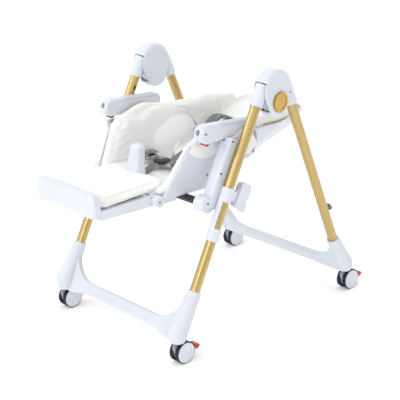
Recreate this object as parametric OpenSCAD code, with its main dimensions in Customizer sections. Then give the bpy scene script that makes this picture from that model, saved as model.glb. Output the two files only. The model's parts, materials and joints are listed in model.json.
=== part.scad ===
// Folding, reclining baby high chair on four twin-wheel casters.
// +X is the child's left, -Y is the front, +Z is up; the floor is z = 0.

/* [Frame] */
// Distance between the centre planes of the left and right legs
track = 510; // [500:5:540]
// Outer diameter of the leg tubes
leg_d = 29; // [27:0.5:30]
// Wall of the leg tubes
leg_wall = 1.5; // [1:0.1:3]
// Height of the fold pivot above the floor
pivot_z = 670; // [660:5:700]
// Lean of the front legs from the vertical, in degrees
front_lean = 26.8; // [25:0.1:28]
// Lean of the rear legs from the vertical, in degrees
rear_lean = 22.7; // [21:0.1:24]

/* [Casters] */
// Outer radius of the caster tyres
wheel_r = 32; // [28:0.5:32]
// Width of one caster wheel
wheel_w = 12; // [10:0.5:13]
// Distance from swivel axis to wheel axis
trail = 18; // [14:1:20]

/* [Seat] */
// Height of the leg rest hinge above the floor
knee_z = 431; // [425:1:436]
// Length of the leg rest from its hinge to the footboard's front
leg_rest_len = 210; // [180:5:220]
// Half width of the footboard
footboard_hw = 128; // [110:1:135]
// Length of the backrest from its hinge to its head end
back_len = 448; // [430:2:460]
// Slope of the fully reclined backrest above the horizontal, in degrees
back_slope = 13; // [8:0.5:20]

/* [Hidden] */
$fn = 48;
left = 1;
right = -1;
front = -1;
rear = 1;
leg_x = track / 2;
leg_r = leg_d / 2;
// Moves the model so that the middle of its depth stands on the origin
stand_y = 77.7;

// Fold pivot and the legs' distance from it
pivot_y = -5;
front_offset = 61.4;
rear_offset = 56.4;
hub_half = 23;          // half the thickness of a hub
hub_wall = 3;
dome_r = 57;
dome = [-4, 33];        // centre of the dome from the pivot, y and z
low_r = 44;             // radius of the hub's lower end
collar_r = 19;
knuckle_r = 36;
knuckle_half = 10;
pin_r = 8;
button_r = 29;

// Feet, measured down the leg from the point beside the pivot
front_foot_top = 564;
rear_foot_top = 548;
front_bar_at = 681;
rear_bar_at = 657;
leg_len = 620;
foot_base_z = 66.6;     // underside of the feet
foot_pad_r = 27;
bar_h = 34;
bar_t = 20;
bar_hw = 145;
tongue_len = 40;
foot_shift = 4;         // caster stems stand this far out from the leg axes, and twice this at the rear
front_foot_y = -foot_shift + pivot_y - front_offset * cos(front_lean)
    - ((pivot_z + front_offset * sin(front_lean) - foot_base_z) / cos(front_lean)) * sin(front_lean);
rear_foot_y = 2 * foot_shift + pivot_y + rear_offset * cos(rear_lean)
    + ((pivot_z + rear_offset * sin(rear_lean) - foot_base_z) / cos(rear_lean)) * sin(rear_lean);
stem_r = 5.5;
stem_len = 26;

// Casters
fork_half = 5.5;
disc_r = wheel_r - 3;
wheel_gap = 0.6;

// Seat carriers, measured down the front leg
sleeve_top = 268;
sleeve_end = 420;
sleeve_r = 18.5;
window_top = 308;
window_end = 384;
lever_at = [24, -284];  // hinge of the height lever from the leg axis, across and along
upright_top = 128;
upright_end = 335;
boss_at = [-35.7, -329]; // cross tube boss from the leg axis, across and along
boss_r = 24;
cross_r = 11;

// Seat
knee_y = -335;
leg_pad_z = 446.4;      // underside of the leg rest's pad
hip_y = -95;            // backrest hinge
hip_z = 450;
shell_flare = 11.2;     // outward lean of the seat sides, in degrees
shell_hw = 148;         // half width of the seat shell at the pan
pan_z = 434;
swing_r = 157;          // backrest wings pass round the seat sides at this radius from the hip hinge
arm_x = 203;
arm_w = 34;
arm_front = [-220, 609];
arm_rear = [-52, 603];
arm_pivot = [-80, 600];
arm_floor = -118;       // underside of the armrests, from the legs' turning point
socket_r = 8;
socket_len = 36;

module white() color([0.93, 0.93, 0.96]) children();
module gold() color([0.78, 0.62, 0.30]) children();
module cream() color([0.97, 0.98, 0.96]) children();
module black() color([0.08, 0.08, 0.10]) children();
module grey() color([0.62, 0.64, 0.66]) children();
module red() color([0.75, 0.05, 0.08]) children();

module stand() translate([0, stand_y, 0]) children();
module sided(side) if (side > 0) children(); else mirror([1, 0, 0]) children();
// The children's -z runs down the leg, and their z axis is the leg's axis
module front_axis() translate([leg_x, pivot_y, pivot_z]) rotate([-front_lean, 0, 0])
    translate([0, -front_offset, 0]) children();
module rear_axis() translate([leg_x, pivot_y, pivot_z]) rotate([rear_lean, 0, 0])
    translate([0, rear_offset, 0]) children();
// A cylinder along x from x0 to x1
module rod_x(r, x0, x1) translate([x0, 0, 0]) rotate([0, 90, 0]) cylinder(h = x1 - x0, r = r);
// A block with its four x edges rounded, from x0 to x1
module slab_x(x0, x1, outline) translate([x0, 0, 0]) rotate([90, 0, 90])
    linear_extrude(x1 - x0) polygon(outline);
// A rectangle with rounded corners, centred
module soft_rect(w, h, r) hull() for (i = [-1, 1], j = [-1, 1])
    translate([i * (w / 2 - r), j * (h / 2 - r)]) circle(r = r, $fn = 24);

// ---------- Frame ----------

module front_leg(side) sided(side) gold() front_axis() difference() {
    translate([0, 0, -leg_len]) cylinder(h = leg_len + 20, r = leg_r);
    translate([0, 0, -leg_len - 1]) cylinder(h = leg_len + 22, r = leg_r - leg_wall);
    // Height lock slots on the inner side
    for (i = [0:8]) translate([-leg_r - 2, -3.5, -75 - i * 24]) cube([6, 7, 13]);
}

module rear_leg(side) sided(side) gold() rear_axis() difference() {
    translate([0, 0, -leg_len + 12]) cylinder(h = leg_len, r = leg_r);
    translate([0, 0, -leg_len + 11]) cylinder(h = leg_len + 2, r = leg_r - leg_wall);
}

// Collar of the front leg, with the disc that turns between the hub's covers
module knuckle(side) sided(side) white() difference() {
    union() {
        front_axis() translate([0, 0, -35]) cylinder(h = 62, r = collar_r);
        translate([leg_x, pivot_y, pivot_z]) rod_x(knuckle_r, -knuckle_half, knuckle_half);
        front_axis() translate([1.5 - knuckle_half, 5, -14])
            cube([2 * knuckle_half - 3, front_offset - 12, 32]);
    }
    front_axis() translate([0, 0, -36]) cylinder(h = 58, r = leg_r + 0.05);
    translate([leg_x, pivot_y, pivot_z]) rod_x(pin_r + 0.05, -30, 30);
}

// Outline of the hub seen from the side: a large dome over a smaller round end
hub_axis = atan2(dome.y, dome.x);
hub_turn = acos((low_r - dome_r) / norm(dome));
// Points on a circle about c, from a0 to a1 degrees
function arc(c, r, a0, a1, n) = [for (i = [0:n])
    let (a = a0 + (a1 - a0) * i / n) [c.x + r * cos(a), c.y + r * sin(a)]];
function hub_outline(inset) = concat(
    arc(dome, dome_r - inset, hub_axis - hub_turn, hub_axis + hub_turn, 36),
    arc([0, 0], low_r - inset, hub_axis + hub_turn, hub_axis - hub_turn + 360, 36));

// Half a hub from x0 outwards along +x, its outer edge bevelled
module hub_half_solid(inset, x0) rotate([90, 0, 90]) hull() {
    translate([0, 0, x0]) linear_extrude(hub_half - 8 - inset - x0) polygon(hub_outline(inset));
    linear_extrude(hub_half - 3 - inset) polygon(hub_outline(inset + 3));
    linear_extrude(hub_half - inset) polygon(hub_outline(inset + 9));
}

// Room that the knuckle's collar sweeps through as the legs fold, as y and z from the pivot
sweep = [[-23.4, 45.4], [-94.8, 81.5], [-150, 0], [-100, -150], [-10.9, -145.5], [-36.3, -28], [0, 0]];
module collar_sweep() difference() {
    slab_x(-collar_r - 1.4, collar_r + 1.4, sweep);
    rod_x(front_offset - collar_r - 3, -30, 30);
}

module hub_shell() difference() {
    hub_half_solid(0, 0);
    hub_half_solid(hub_wall, -1);
    collar_sweep();
}

module hub_outer_cover(side) sided(side) white() translate([leg_x, pivot_y, pivot_z]) difference() {
    union() {
        hub_shell();
        rod_x(button_r + 4, hub_half - 1, hub_half + 2);
    }
    rod_x(button_r + 0.5, hub_half - hub_wall - 2, hub_half + 3);
    rear_socket_room();
}

module rear_socket_room() rotate([rear_lean, 0, 0]) translate([0, rear_offset, -60])
    cylinder(h = 100, r = collar_r + 0.2);

// Inner cover, with the rear leg's socket and the pivot pin
module hub_inner_cover(side) sided(side) white() translate([leg_x, pivot_y, pivot_z]) difference() {
    union() {
        mirror([1, 0, 0]) hub_shell();
        rotate([rear_lean, 0, 0]) translate([0, rear_offset, -42]) cylinder(h = 60, r = collar_r);
        rod_x(pin_r, -hub_half + hub_wall - 1, knuckle_half + 1);
    }
    rotate([rear_lean, 0, 0]) translate([0, rear_offset, -43]) cylinder(h = 56, r = leg_r + 0.05);
}

module hub_button(side) sided(side) gold() translate([leg_x, pivot_y, pivot_z]) difference() {
    union() {
        rod_x(button_r, hub_half - 5, hub_half + 4);
        rod_x(button_r - 3, hub_half + 4, hub_half + 6);
    }
    rod_x(button_r - 8, hub_half + 4.5, hub_half + 7);
}

// Fillet that carries a leg's foot over into its crossbar, as x and distance down the leg
function fillet(top, bar) = [for (i = [0:12]) let (a = 90 * i / 12)
    [-14 - (leg_x - bar_hw - 14) * (1 - cos(a)), -(top + 4 + (bar - bar_h / 2 - top - 4) * sin(a))]];

edge_r = 5;
module gusset(top, bar) intersection() {
    rotate([90, 0, 0]) minkowski() {
        linear_extrude(bar_t - 2 * edge_r, center = true) offset(delta = -edge_r)
            polygon(concat(fillet(top, bar),
                [[bar_hw - leg_x - 12, -(bar - bar_h / 2)], [bar_hw - leg_x - 12, -(bar + bar_h / 2)],
                 [bar_hw - leg_x + 3, -(bar + bar_h / 2)], [-86, -(bar + bar_h / 2 + 4)],
                 [-64, -(bar + bar_h / 2 + 12)], [0, -(bar + bar_h / 2 + 20)], [0, -top - 4]]));
        sphere(r = edge_r, $fn = 16);
    }
    translate([bar_hw - leg_x, -100, -800]) cube([200, 200, 800]);
}

// Socket of a crossbar's tongue
module tongue_room(bar) translate([bar_hw - leg_x - 1, -bar_t / 2 + 2.45, -bar - bar_h / 2 + 2.95])
    cube([tongue_len + 1.2, bar_t - 4.9, bar_h - 5.9]);

module above(z) intersection() {
    children();
    translate([-600, -600, z]) cube([1200, 1200, 1200]);
}

// Slice of the round pad over a caster
module foot_pad(y, z, r1, r2) translate([leg_x, y, foot_base_z + z])
    cylinder(h = 12, r1 = r1, r2 = r2, $fn = 40);

module front_foot(side) sided(side) white() difference() {
    above(foot_base_z) union() {
        hull() {
            front_axis() translate([0, 0, -front_foot_top - 4]) cylinder(h = 4, r = collar_r);
            foot_pad(front_foot_y + 2, 0, foot_pad_r - 6, foot_pad_r - 1);
            foot_pad(front_foot_y + 4, 26, foot_pad_r, foot_pad_r);
        }
        front_axis() gusset(front_foot_top, front_bar_at);
    }
    front_axis() translate([0, 0, -leg_len - 1]) cylinder(h = 120, r = leg_r + 0.05);
    translate([leg_x, front_foot_y, foot_base_z - 1]) cylinder(h = stem_len + 2, r = stem_r + 0.05);
    front_axis() tongue_room(front_bar_at);
}

module rear_foot(side) sided(side) white() difference() {
    above(foot_base_z) union() {
        hull() {
            rear_axis() translate([0, 0, -rear_foot_top - 4]) cylinder(h = 4, r = collar_r);
            foot_pad(rear_foot_y, 0, foot_pad_r - 6, foot_pad_r - 1);
            foot_pad(rear_foot_y - 4, 22, foot_pad_r, foot_pad_r);
        }
        rear_axis() gusset(rear_foot_top, rear_bar_at);
    }
    rear_axis() translate([0, 0, -leg_len + 11]) cylinder(h = 130, r = leg_r + 0.05);
    translate([leg_x, rear_foot_y, foot_base_z - 1]) cylinder(h = stem_len + 2, r = stem_r + 0.05);
    rear_axis() tongue_room(rear_bar_at);
}

module crossbar(at) {
    translate([-leg_x - bar_hw, 0, -at]) rotate([90, 0, 90])
        linear_extrude(2 * bar_hw) soft_rect(bar_t, bar_h, edge_r);
    for (x = [-leg_x - bar_hw - tongue_len, -leg_x + bar_hw - 1])
        translate([x, -bar_t / 2 + 2.5, -at - bar_h / 2 + 3]) cube([tongue_len + 1, bar_t - 5, bar_h - 6]);
}
module front_crossbar() white() front_axis() crossbar(front_bar_at);
module rear_crossbar() white() rear_axis() crossbar(rear_bar_at);

// Round hooks on the backs of the rear legs, where the tray is stored
module tray_hooks() for (side = [left, right]) sided(side) grey() rear_axis()
    translate([0, 0, -440]) rotate([-90, 0, 0]) difference() {
        union() {
            cylinder(h = leg_r + 6, r = 6);
            translate([0, 0, leg_r + 6]) cylinder(h = 5, r = 11);
        }
        translate([0, -20, 0]) rotate([-90, 0, 0]) cylinder(h = 40, r = leg_r + 0.05);
    }

// ---------- Casters ----------

function foot_y(end) = end > 0 ? rear_foot_y : front_foot_y;
module at_caster(end, side) translate([side * leg_x, foot_y(end), 0]) children();

brake_pin = [12, 11];    // brake pedal's pin from the wheel centre, y and z
module caster_fork(end, side) grey() at_caster(end, side) difference() {
    union() {
        translate([-fork_half, 0, 0]) rotate([90, 0, 90]) linear_extrude(2 * fork_half) hull() {
            translate([trail, wheel_r]) circle(r = 26);
            translate([0, 50]) circle(r = 13);
        }
        translate([0, 0, foot_base_z - 2.2]) cylinder(h = 2, r = 14);
        translate([0, 0, foot_base_z - 1]) cylinder(h = stem_len, r = stem_r);
    }
    translate([0, trail, wheel_r]) rod_x(4.05, -20, 20);
    // Slot of the brake pedal
    translate([-2.6, trail + 5.4, wheel_r + 1.5]) cube([5.2, 40, 40]);
    translate([0, trail + brake_pin.x, wheel_r + brake_pin.y]) rod_x(2.55, -20, 20);
}

module tyres(end, side) black() at_caster(end, side) translate([0, trail, wheel_r])
    for (s = [left, right]) sided(s) difference() {
        rod_x(wheel_r, fork_half + wheel_gap, fork_half + wheel_gap + wheel_w - 1.5);
        rod_x(disc_r - 4, fork_half + wheel_gap - 1, fork_half + wheel_w);
    }

// White wheel discs and the axle that joins them
module wheel_discs(end, side) white() at_caster(end, side) translate([0, trail, wheel_r]) union() {
    rod_x(4, -fork_half - wheel_gap - 3, fork_half + wheel_gap + 3);
    for (s = [left, right]) sided(s) {
        rod_x(disc_r - 4, fork_half + wheel_gap + 0.2, fork_half + wheel_gap + wheel_w - 1.5);
        rod_x(disc_r, fork_half + wheel_gap + wheel_w - 1.5, fork_half + wheel_gap + wheel_w);
    }
}

module brake_pedal(end, side) red() at_caster(end, side) translate([0, trail, wheel_r]) union() {
    translate([0, brake_pin.x, brake_pin.y]) rod_x(2.5, -fork_half, fork_half);
    translate([0, brake_pin.x, brake_pin.y]) rod_x(5, -2.4, 2.4);
    slab_x(-2.4, 2.4, [[12, 6.2], [31, 6.2], [31, 14], [12, 15.8]]);
    slab_x(-5.2, 5.2, [[28.6, 4.6], [37, 2], [37, 12], [28.6, 14]]);
    slab_x(-12, 12, [[35.5, -2], [45, -5], [52, -1], [55, 4], [50, 9], [35.5, 12]]);
}

// ---------- Seat carriers ----------

// Slides on the front leg and carries the seat: sleeve, upright and cross tube boss
module seat_carrier(side) sided(side) white() front_axis() difference() {
    union() {
        translate([0, 0, -sleeve_end]) cylinder(h = sleeve_end - sleeve_top, r = sleeve_r);
        hull() {
            translate([-33.5, -11, -upright_end]) linear_extrude(upright_end - upright_top - 34)
                soft_rect(37, 54, 8);
            translate([-33.5, -20, -upright_top - 30]) linear_extrude(20) soft_rect(37, 36, 8);
        }
        translate([0, boss_at.x, boss_at.y]) rod_x(boss_r, -54, -18);
        // Fork of the height lever
        translate([-8, 10, lever_at.y - 12]) cube([16, lever_at.x - 4, 24]);
        arm_ear();
    }
    translate([0, 0, -sleeve_end - 1]) cylinder(h = sleeve_end + 60, r = leg_r + 0.3);
    // Window that shows the leg
    rotate([0, 0, 42]) translate([-3, -30, -window_end]) cube([30, 60, window_end - window_top]);
    translate([0, boss_at.x, boss_at.y]) rod_x(cross_r + 0.05, -60, -24);
    translate([0, ear.x, ear.y]) rod_x(4.05, -60, -10);
    // The armrest rests above this level
    translate([-60, 0, 0]) rotate([front_lean, 0, 0]) translate([0, -200, arm_floor])
        cube([25.4, 400, 100]);
    translate([0, lever_at.x, lever_at.y]) rod_x(3.05, -30, 30);
    translate([-4.2, 15, lever_at.y - 26]) cube([8.4, 40, 52]);
}

// Ear on top of the upright that holds the armrest's hinge
function to_leg(p) = [
    (p.x - pivot_y) * cos(front_lean) - (p.y - pivot_z) * sin(front_lean) + front_offset,
    (p.x - pivot_y) * sin(front_lean) + (p.y - pivot_z) * cos(front_lean)];
ear = to_leg(arm_pivot);
module arm_ear() hull() {
    translate([0, ear.x, ear.y]) rod_x(9, -34.5, -26);
    translate([-34.5, -24, -upright_top - 50]) cube([8.5, 24, 30]);
}

// Paddle behind the leg; squeezing it down lets the carrier slide
module height_lever(side) sided(side) white() front_axis() union() {
    translate([0, lever_at.x, lever_at.y]) rod_x(3, -8, 8);
    slab_x(-4, 4, [[lever_at.x - 4, lever_at.y + 4], [lever_at.x + 6, lever_at.y + 12], [42, -258],
                   [44, -312], [lever_at.x, lever_at.y - 4]]);
    slab_x(-10, 10, concat([[38, -246], [50, -240]],
        [for (a = [80:-20:-60]) [68 + 12 * cos(a), -266 + 26 * sin(a)]],
        [[80, -304], [82, -316], [75, -320], [58, -310], [44, -314], [37, -308]]));
}

module cross_tube() black() front_axis() translate([0, boss_at.x, boss_at.y]) difference() {
    rod_x(cross_r, -2 * leg_x + 24.5, -24.5);
    rod_x(cross_r - 1.5, -2 * leg_x + 24, -24);
}

// ---------- Seat ----------

side_wall = [[-244, 140], [-318, 18], [-330, 0], [-112, -8], [-62, 60], [-40, 118], [-40, 144]];
outer_panel = [[-241, 139], [-313, 20], [-302, 6], [-198, 3], [-184, 20], [-180, 139]];
// Webs that join the knee and hip bosses to the pan
knee_web = [[knee_y, 420], [knee_y + 60, 420], [knee_y + 60, pan_z - 1], [knee_y, pan_z - 1]];
hip_web = [[hip_y - 30, pan_z - 3], [hip_y, pan_z - 3], [hip_y + 8, hip_z], [hip_y - 20, hip_z]];
boss_r_knee = 16;
boss_r_hip = 14;
soft_gap = 0.4;         // room left between a cushion and a hard part
// The children are drawn on the left seat wall: y, height up the wall, thickness outwards
module on_wall() translate([shell_hw - 4, 0, pan_z]) rotate([0, shell_flare, 0]) children();

module seat_shell() white() difference() {
    union() {
        translate([-shell_hw + 2, -330, pan_z - 4]) cube([2 * shell_hw - 4, 218, 4]);
        for (side = [left, right]) sided(side) {
            on_wall() slab_x(0, 4, side_wall);
            // Raised outer panel
            on_wall() slab_x(3.9, 7.4, outer_panel);
            // Knee and hip bosses
            translate([0, knee_y, knee_z]) rod_x(boss_r_knee, 129, 149);
            slab_x(130, 144, knee_web);
            translate([0, hip_y, hip_z]) rod_x(boss_r_hip, 139, 150);
            slab_x(140, 148, hip_web);
        }
        // Saddle on the cross tube, and tongues out to the carriers' uprights
        for (x = [-118, 118]) translate([x - 12, 0, 0])
            slab_x(0, 24, [[-262, 424], [-218, 424], [-218, pan_z - 2], [-262, pan_z - 2]]);
    }
    // Room for the cross tube
    tube_room();
    knee_room();
    // Pin holes
    for (side = [left, right]) sided(side) {
        translate([0, knee_y, knee_z]) rod_x(4.05, 100, 160);
        translate([0, hip_y, hip_z]) rod_x(4.05, 100, 165);
    }
}
// Room that the leg rest's arms turn in at the knee
module knee_room() for (side = [left, right]) sided(side)
    translate([0, knee_y, knee_z]) rod_x(15.4, 100, 128.5);
module tube_room() front_axis() translate([0, boss_at.x, boss_at.y])
    rod_x(cross_r + 0.05, -2 * leg_x, 0);

module seat_pins() grey() for (side = [left, right]) sided(side) {
    translate([0, knee_y, knee_z]) rod_x(4, 114, 149.5);
    translate([0, hip_y, hip_z]) rod_x(4, 124, 150.5);
}

bolster_front = [[-250, 138], [-312, 26], [-306, 3], [-62, 3], [-24, 36]];
// Padded liner of the seat: base, hip bolsters and the flaps over the sides
module seat_pad() cream() difference() {
    union() {
        translate([0, 0, pan_z + 0.5]) slab_x(-138, 138,
            [[-334, 4], [-330, 0], [-122, 0], [-118, 22], [-200, 22], [-300, 30], [-328, 24]]);
        for (side = [left, right]) sided(side) on_wall() {
            slab_x(-26, -0.5, concat(bolster_front,
                arc([hip_y, (hip_z - pan_z) / cos(shell_flare)], swing_r - 3.5, 24, 112, 16), [[-210, 163]]));
            slab_x(-0.5, 5.5, [[-244, 144.6], [-60, 144.6], [-70, 156], [-140, 164], [-210, 160]]);
        }
    }
    // Room for the hip and knee bosses
    for (side = [left, right]) sided(side) {
        translate([0, hip_y, hip_z]) rod_x(4.3, 110, 160);
        translate([0, hip_y, hip_z]) rod_x(boss_r_hip + soft_gap, 139 - soft_gap, 160);
        slab_x(140 - soft_gap, 160, [for (p = hip_web) p + [p.x > hip_y - 15 ? 1 : -1, 0]]);
        translate([0, knee_y, knee_z]) rod_x(boss_r_knee + soft_gap, 128.4, 160);
    }
    knee_room();
    // Room for the crotch post
    post_room(0.5);
}

// Sections of the crotch post: y, height above the pan, width and depth
post_sections = [[-306, 0.1, 86, 54], [-301, 28, 62, 44], [-292, 70, 46, 36],
                 [-286, 110, 38, 30], [-284, 119, 24, 18]];
post_round = 0.29;      // corner radius of a section over its depth
module post_section(i, gap) let (p = post_sections[i]) translate([0, p[0], pan_z + p[1]])
    linear_extrude(1) soft_rect(p[2] + 2 * gap, p[3] + 2 * gap, post_round * p[3]);
module crotch_post() white() for (i = [0:3]) hull() {
    post_section(i, 0);
    post_section(i + 1, 0);
}
module post_room(gap) for (i = [0:1]) hull() {
    post_section(i, gap);
    post_section(i + 1, gap);
}

// ---------- Armrests ----------

// Round end of an armrest, its edges bevelled
module arm_end(at, r) translate([arm_x, at.x, at.y]) {
    rod_x(r, 5 - arm_w / 2, arm_w / 2 - 5);
    rod_x(r - 4, -arm_w / 2, arm_w / 2);
}
module arm_bar(grow, y0, y1) intersection() {
    hull() {
        arm_end(arm_front, 26 + grow);
        arm_end(arm_rear, 18 + grow);
    }
    translate([0, y0, 500]) cube([400, y1 - y0, 200]);
}
arm_seam = -172;

module armrest(side) sided(side) white() difference() {
    union() {
        arm_bar(0, -300, arm_seam);
        arm_bar(-3, arm_seam - 1, 0);
        translate([0, arm_pivot.x, arm_pivot.y]) rod_x(4, 205, 228);
    }
    translate([arm_x, arm_front.x - 40, 617]) rotate([-90, 0, 0])
        cylinder(h = socket_len + 14, r = socket_r);
    // Pocket of the tray trigger
    translate([arm_x - 7, -232, 578]) cube([14, 30, 18]);
}

module armrest_cover(side) sided(side) white() difference() {
    arm_bar(0, arm_seam + 0.2, 0);
    arm_bar(-2.9, arm_seam - 2, 0);
    translate([0, arm_pivot.x, arm_pivot.y]) rod_x(4.3, 205, 240);
}

module tray_trigger(side) sided(side) red() translate([arm_x - 6, 0, 0])
    slab_x(0, 12, [[-230, 590], [-230, 581], [-214, 573], [-206, 581], [-206, 590]]);

// ---------- Leg rest ----------

foot_y0 = knee_y - leg_rest_len;
module leg_rest_frame() white() difference() {
    union() {
        for (side = [left, right]) sided(side) {
            hull() {
                translate([0, knee_y, knee_z]) rod_x(15, 115, 128);
                translate([104, foot_y0 + 24, 420]) cube([20, 2, 24]);
            }
        }
        translate([-116, foot_y0 + 23.5, 432]) cube([232, leg_rest_len - 44, 12]);
    }
    for (side = [left, right]) sided(side) translate([0, knee_y, knee_z]) rod_x(4.1, 100, 160);
}

module footboard() white() translate([0, foot_y0, 459.5]) rotate([-90, 0, 0]) difference() {
    hull() {
        translate([0, 0, 4]) linear_extrude(19) soft_rect(2 * footboard_hw, 65, 18);
        linear_extrude(23) soft_rect(2 * footboard_hw - 8, 57, 14);
    }
    // Hollow of the lower edge
    translate([0, 205, -1]) cylinder(h = 30, r = 178, $fn = 160);
}

module leg_rest_pad() cream() hull() for (side = [left, right]) {
    translate([side * 104, foot_y0 + 46, leg_pad_z]) cylinder(h = 15.6, r1 = 20, r2 = 22);
    translate([side * 104, knee_y - 30, leg_pad_z]) cylinder(h = 15.6, r1 = 20, r2 = 22);
    translate([side * 98, foot_y0 + 48, 466]) cylinder(h = 2, r = 16);
    translate([side * 98, knee_y - 32, 466]) cylinder(h = 2, r = 16);
}

// ---------- Backrest ----------

// The children's y runs from the hip hinge to the head, and z towards the child
module on_back() translate([0, hip_y, hip_z]) rotate([back_slope, 0, 0]) children();

// Dished shape of the backrest, shrunk by gap; top is the height of its sides at the hips
module boat(gap, top) hull() {
    for (side = [left, right]) {
        translate([side * (148 - gap), 118, top]) sphere(r = 16, $fn = 24);
        translate([side * (150 - gap), 235, top - 22]) sphere(r = 16, $fn = 24);
        translate([side * (84 - gap), 118, 2 + gap]) sphere(r = 26, $fn = 24);
        translate([side * (84 - gap), 320, 18 + gap]) sphere(r = 26, $fn = 24);
    }
    for (a = [15:30:165]) translate([(90 - gap) * cos(a), back_len - 112 + (90 - gap) * sin(a), 15 + gap])
        sphere(r = 22, $fn = 24);
}

// Everything further than r from the hip hinge
module beyond(r) difference() {
    children();
    rod_x(r, -300, 300);
}

// Cuts the backrest shell along its sloping rim
module under_rim(grow) intersection() {
    children();
    slab_x(-300, 300, [[-100, -200], [-100, rim_z + 200 * rim_fall + grow],
                       [600, rim_z - 500 * rim_fall + grow], [600, -200]]);
}
rim_z = 98;             // height of the backrest's rim 100 mm from the hinge
rim_fall = 0.26;
lever_s = 300;          // recline lever's pin from the hip hinge, along the back and up from it
lever_h = -21;

hinge_plate = [[-11, 0], [-8, -9], [22, -16], [152, -16], [152, 34], [30, 34], [9, 8], [0, 12], [-9, 8]];
lever_ear = [[-7, 10], [-7, -2], [-3, -6], [3, -6], [7, -2], [7, 10]];

module backrest_shell() white() on_back() difference() {
    union() {
        beyond(swing_r + 1) under_rim(0) difference() {
            boat(0, 90);
            boat(4, 94);
        }
        // Narrow lower part that passes between the sides of the seat
        translate([0, 168, 0]) rotate([90, 0, 0]) linear_extrude(148)
            polygon([[-112, -12], [-100, -22], [100, -22], [112, -12],
                     [107, -10], [98, -18], [-98, -18], [-107, -10]]);
        for (side = [left, right]) sided(side) slab_x(107, 112, hinge_plate);
        // Ears of the recline lever
        for (side = [left, right]) sided(side) translate([0, lever_s, lever_h]) slab_x(31, 36, lever_ear);
    }
    rod_at_lever(3.05);
    for (side = [left, right]) sided(side) rod_x(4.1, 100, 160);
}

module backrest_pad() cream() on_back() difference() {
    union() {
        beyond(swing_r + 1.4) hull() {
            under_rim(-3) boat(4.5, 94);
            for (side = [left, right]) {
                translate([side * 142, 112, 106]) sphere(r = 13, $fn = 24);
                translate([side * 144, 220, 94]) sphere(r = 13, $fn = 24);
                translate([side * 100, 330, 58]) sphere(r = 13, $fn = 24);
            }
            for (a = [35:25:145]) translate([72 * cos(a), back_len - 112 + 72 * sin(a), 36])
                sphere(r = 13, $fn = 24);
        }
        translate([-97, 24, -17.5]) cube([194, 131, 20]);
        translate([-74, 150, -17]) cube([148, 14, 16]);
        for (side = [left, right]) sided(side)
            slab_x(92, 106.6, [[28, -10], [156, -10], [156, 34], [60, 30], [34, 14]]);
    }
    // Hollow where the child lies
    hull() {
        for (side = [left, right]) {
            translate([side * 96, 90, 32]) sphere(r = 26, $fn = 24);
            translate([side * 112, 90, 160]) sphere(r = 26, $fn = 24);
            translate([side * 84, 330, 46]) sphere(r = 26, $fn = 24);
            translate([side * 96, 330, 160]) sphere(r = 26, $fn = 24);
        }
        for (a = [35:25:145]) translate([50 * cos(a), back_len - 130 + 50 * sin(a), 56])
            sphere(r = 26, $fn = 24);
    }
}

module rod_at_lever(r) translate([0, lever_s, lever_h]) rod_x(r, -60, 60);
module recline_lever() grey() on_back() translate([0, lever_s, lever_h]) union() {
    rod_x(3, -36, 36);
    slab_x(-28, 28, [[-3, -3], [40, -9], [50, -13], [53, -10], [41, -4], [3, 1], [-3, 1]]);
}

// ---------- Harness ----------

module waist_straps() grey() {
    for (side = [left, right]) sided(side) hull() {
        translate([20, -212, 462]) cube([4, 26, 2.4]);
        translate([112, -176, 460]) cube([4, 26, 2.4]);
    }
    translate([-13, -262, 462.5]) cube([26, 44, 2.4]);
}
module buckle() black() translate([0, -200, 465]) hull() {
    translate([0, 0, 0.2]) linear_extrude(8) soft_rect(48, 34, 9);
    translate([0, 0, 12]) linear_extrude(2) soft_rect(38, 26, 7);
}
// Route of the shoulder straps over the cushions, as y and z
strap_x = 64;
strap_w = 26;
strap_t = 2.4;
route = [[150, 536], [60, 513], [-10, 486], [-60, 470.5]];
module shoulder_straps() grey() for (side = [left, right], i = [0:len(route) - 2])
    sided(side) hull() for (p = [route[i], route[i + 1]])
        translate([strap_x - strap_w / 2, p.x, p.y]) cube([strap_w, 1.5, strap_t]);

module snap_fasteners() grey() for (side = [left, right]) sided(side) on_wall()
    translate([0, -145, 106]) rod_x(4, 4.2, 7);

stand() hub_outer_cover(left);  // hub_outer_cover_left
stand() hub_outer_cover(right);  // hub_outer_cover_right
stand() hub_inner_cover(left);  // hub_inner_cover_left
stand() hub_inner_cover(right);  // hub_inner_cover_right
stand() hub_button(left);  // hub_button_left
stand() hub_button(right);  // hub_button_right
stand() knuckle(left);  // knuckle_left
stand() knuckle(right);  // knuckle_right
stand() front_leg(left);  // front_leg_left
stand() front_leg(right);  // front_leg_right
stand() rear_leg(left);  // rear_leg_left
stand() rear_leg(right);  // rear_leg_right
stand() front_foot(left);  // front_foot_left
stand() front_foot(right);  // front_foot_right
stand() rear_foot(left);  // rear_foot_left
stand() rear_foot(right);  // rear_foot_right
stand() front_crossbar();
stand() rear_crossbar();
stand() tray_hooks();
stand() caster_fork(front, left);  // caster_fork_front_left
stand() caster_fork(front, right);  // caster_fork_front_right
stand() caster_fork(rear, left);  // caster_fork_rear_left
stand() caster_fork(rear, right);  // caster_fork_rear_right
stand() tyres(front, left);  // tyres_front_left
stand() tyres(front, right);  // tyres_front_right
stand() tyres(rear, left);  // tyres_rear_left
stand() tyres(rear, right);  // tyres_rear_right
stand() wheel_discs(front, left);  // wheel_discs_front_left
stand() wheel_discs(front, right);  // wheel_discs_front_right
stand() wheel_discs(rear, left);  // wheel_discs_rear_left
stand() wheel_discs(rear, right);  // wheel_discs_rear_right
stand() brake_pedal(front, left);  // brake_pedal_front_left
stand() brake_pedal(front, right);  // brake_pedal_front_right
stand() brake_pedal(rear, left);  // brake_pedal_rear_left
stand() brake_pedal(rear, right);  // brake_pedal_rear_right
stand() seat_carrier(left);  // seat_carrier_left
stand() seat_carrier(right);  // seat_carrier_right
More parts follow.
